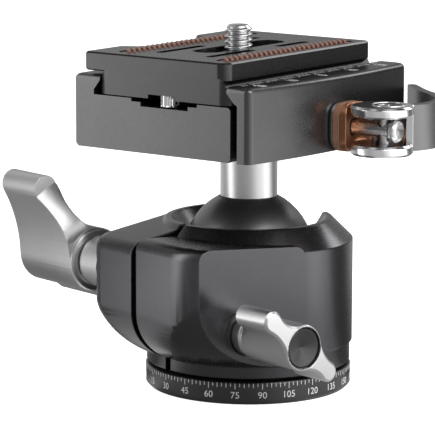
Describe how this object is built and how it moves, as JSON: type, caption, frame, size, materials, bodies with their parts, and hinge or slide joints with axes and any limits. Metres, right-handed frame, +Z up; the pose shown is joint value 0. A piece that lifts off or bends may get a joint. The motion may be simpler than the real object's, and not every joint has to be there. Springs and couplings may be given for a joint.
{
  "type": "tripod ball head",
  "caption": "Tripod ball head: a panning base, a split housing with wing knobs, a ball on a short stem and a lever clamp holding a dovetail plate.",
  "frame": {"origin": "centre of the base's underside, on the pan axis", "axes": "+Z up along the pan axis and the stem, +X across the jaws towards the lever, +Y along the dovetail"},
  "size_m": [0.0942, 0.0731, 0.0835],
  "materials": {
    "black_anodised": "satin",
    "black_clamp": "satin",
    "ball_dark": "satin",
    "silver": "satin",
    "chrome": "gloss",
    "steel": "satin",
    "dark_steel": "satin",
    "polymer": "matte",
    "brown_pad": "matte",
    "copper": "satin",
    "rubber": "matte"
  },
  "bodies": {
    "base": {"panning_base": "black_anodised", "pan_spindle": "steel", "base_screw_1": "steel", "base_screw_2": "steel", "base_screw_3": "steel"},
    "housing_body": {"housing": "black_anodised", "pan_retaining_ring": "dark_steel", "pan_bearing_washer": "polymer", "seat_spring": "dark_steel", "ball_seat": "polymer", "main_knob_collar": "silver", "pan_knob_collar": "silver"},
    "main_knob_body": {"main_knob": "silver", "main_knob_cap": "black_anodised", "main_lock_screw": "steel"},
    "pan_knob_body": {"pan_knob": "silver", "pan_knob_cap": "black_anodised", "pan_lock_screw": "steel"},
    "ball_body": {"ball": "ball_dark"},
    "clamp": {"stem": "silver", "clamp_body": "black_clamp", "clamp_screw": "dark_steel", "jaw_guide_pin_1": "steel", "jaw_guide_pin_2": "steel", "draw_bolt": "steel", "cam_pin": "steel"},
    "jaw": {"moving_jaw": "black_clamp", "jaw_shim_dark": "dark_steel", "jaw_shim_steel": "steel", "cam_pad_inner": "brown_pad", "cam_pad_outer": "copper"},
    "lever": {"cam_lever": "chrome"},
    "plate": {"quick_release_plate": "black_anodised", "rubber_strip_left": "rubber", "rubber_strip_right": "rubber", "stop_screw_front": "chrome", "stop_screw_rear": "chrome"},
    "camera_screw_body": {"camera_screw": "steel"}
  },
  "joints": [
    {"name": "pan", "type": "hinge", "parent": "base", "child": "housing_body", "pos_m": [0, 0, 0.0054], "axis": [0, 0, 1], "continuous": true},
    {"name": "main_knob_turn", "type": "hinge", "parent": "housing_body", "child": "main_knob_body", "pos_m": [-0.03547, -0.01925, 0.0287], "axis": [-0.9724, 0.2334, 0], "range_deg": [0, 120]},
    {"name": "pan_knob_turn", "type": "hinge", "parent": "housing_body", "child": "pan_knob_body", "pos_m": [0.0249, -0.0248, 0.0174], "axis": [0.9724, -0.2334, 0], "range_deg": [0, 120]},
    {"name": "ball_tilt", "type": "hinge", "parent": "housing_body", "child": "ball_body", "pos_m": [0, 0, 0.0304], "axis": [-0.9724, 0.2334, 0], "range_deg": [-12, 90]},
    {"name": "head_spin", "type": "hinge", "parent": "ball_body", "child": "clamp", "pos_m": [0, 0, 0.0304], "axis": [0, 0, 1], "continuous": true},
    {"name": "lever_open", "type": "hinge", "parent": "clamp", "child": "lever", "pos_m": [0.0375, -0.0008, 0.0623], "axis": [0, 0, -1], "range_deg": [0, 110]},
    {"name": "jaw_slide", "type": "slide", "parent": "clamp", "child": "jaw", "axis": [1, 0, 0], "range_m": [0, 0.00095]},
    {"name": "plate_slide", "type": "slide", "parent": "clamp", "child": "plate", "axis": [0, 1, 0], "range_m": [-0.011, 0.015]},
    {"name": "camera_screw_turn", "type": "hinge", "parent": "plate", "child": "camera_screw_body", "pos_m": [0, -0.00425, 0.0765], "axis": [0, 0, 1], "continuous": true}
  ],
  "couplings": [
    {"joint": "jaw_slide", "follows": "lever_open", "m_per_rad": 0.00048962}
  ]
}
